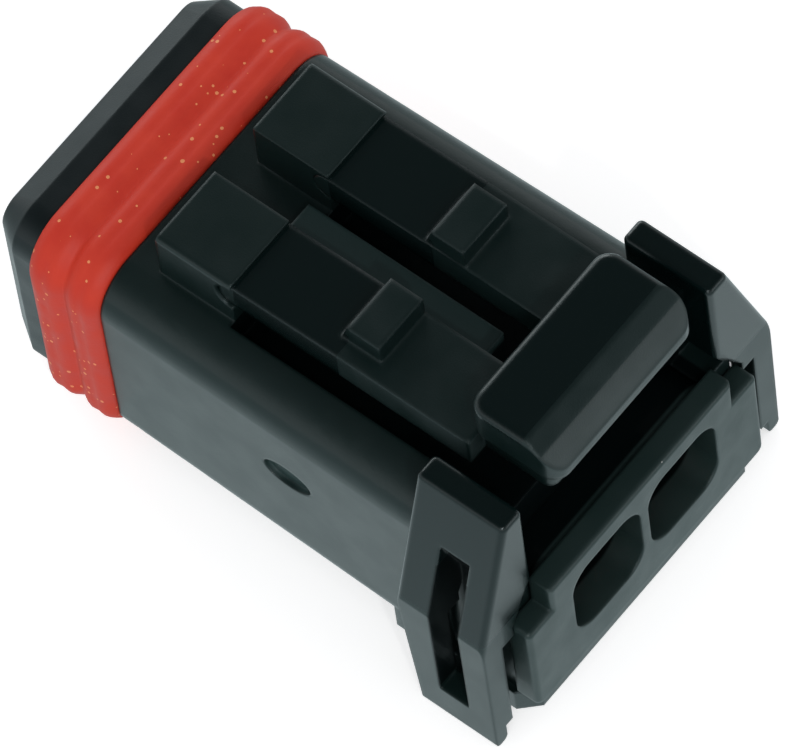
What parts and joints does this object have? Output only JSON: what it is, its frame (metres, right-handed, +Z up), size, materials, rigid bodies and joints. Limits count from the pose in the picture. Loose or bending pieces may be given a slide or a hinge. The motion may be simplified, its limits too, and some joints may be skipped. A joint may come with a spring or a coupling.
{
  "type": "sealed wire-to-wire connector housing",
  "caption": "Sealed rectangular plug housing for two wires, with a twin-arm latch, a ribbed ring seal and a front retainer.",
  "frame": {"origin": "centre of the bounding box's underside", "axes": "+Y towards the mating end, -Y towards the wire entries, +Z up through the latch, +X to the right of +Y"},
  "size_m": [0.0154, 0.0228, 0.0146],
  "materials": {
    "black_polymer": "satin moulded",
    "black_retainer": "satin moulded",
    "orange_silicone": "satin"
  },
  "bodies": {
    "shell": {"housing": "black_polymer", "rear_cover": "black_polymer", "wire_seal": "orange_silicone", "face_seal": "orange_silicone"},
    "latch": {"latch_arm": "black_polymer"},
    "retainer": {"front_retainer": "black_retainer"}
  },
  "joints": [
    {"name": "latch_press", "type": "hinge", "parent": "shell", "child": "latch", "pos_m": [0, 0.00215, 0.01191], "axis": [1, 0, 0], "range_deg": [0, 9], "stiffness_Nm_per_rad": 0.2, "springref_deg": -2.86},
    {"name": "retainer_slide", "type": "slide", "parent": "shell", "child": "retainer", "axis": [0, 1, 0], "range_m": [0, 0.0018]}
  ]
}
